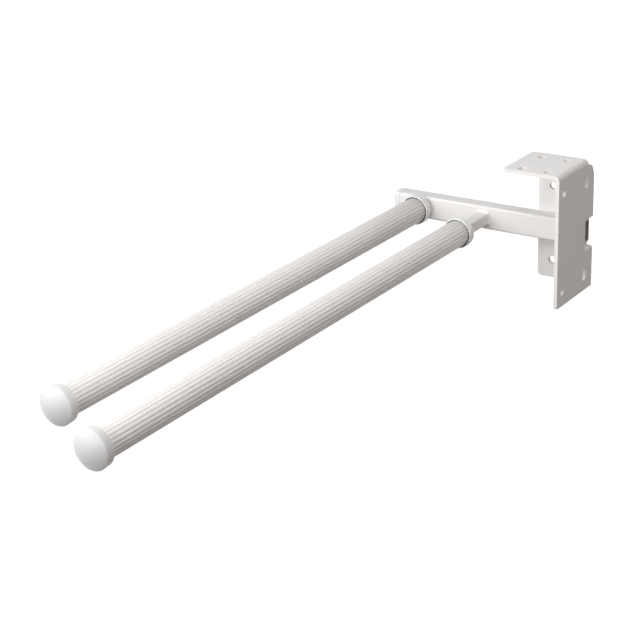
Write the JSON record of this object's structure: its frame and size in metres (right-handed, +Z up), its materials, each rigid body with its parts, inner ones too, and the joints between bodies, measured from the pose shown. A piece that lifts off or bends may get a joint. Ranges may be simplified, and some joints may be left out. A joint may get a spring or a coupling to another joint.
{
  "type": "pull-out dish towel holder",
  "caption": "Cabinet-mounted pull-out towel holder: bent steel bracket, cross tube and parallel reeded arms that slide forward on square bars.",
  "frame": {"origin": "middle of the four side screw holes, on the outer face of the bracket's side plate", "axes": "+X out of the side plate into the cabinet's side wall, -Y forwards along the arms and out of the cabinet, +Z up"},
  "size_m": [0.182, 0.512, 0.111],
  "materials": {
    "painted_steel": "white powder coat, satin",
    "reeded_sleeve": "white powder coat on an aluminium extrusion with fine lengthwise reeds, satin",
    "white_plastic": "moulded white plastic, fine satin",
    "black_plastic": "moulded black nylon, matte",
    "zinc_steel": "zinc plated"
  },
  "bodies": {
    "bracket": {"bracket": "painted_steel", "cross_tube": "painted_steel", "cross_tube_plug": "white_plastic", "tube_welds": "painted_steel", "left_bar": "painted_steel", "right_bar": "painted_steel", "bar_welds": "painted_steel", "left_glide": "black_plastic", "right_glide": "black_plastic", "glide_washers": "zinc_steel", "glide_screws": "zinc_steel"},
    "left_arm": {"left_sleeve": "reeded_sleeve", "left_collar": "white_plastic", "left_cap": "white_plastic"},
    "right_arm": {"right_sleeve": "reeded_sleeve", "right_collar": "white_plastic", "right_cap": "white_plastic"}
  },
  "joints": [
    {"name": "left_arm_slide", "type": "slide", "parent": "bracket", "child": "left_arm", "axis": [0, -1, 0], "range_m": [-0.0035, 0.2765]},
    {"name": "right_arm_slide", "type": "slide", "parent": "bracket", "child": "right_arm", "axis": [0, -1, 0], "range_m": [-0.038, 0.242]}
  ]
}
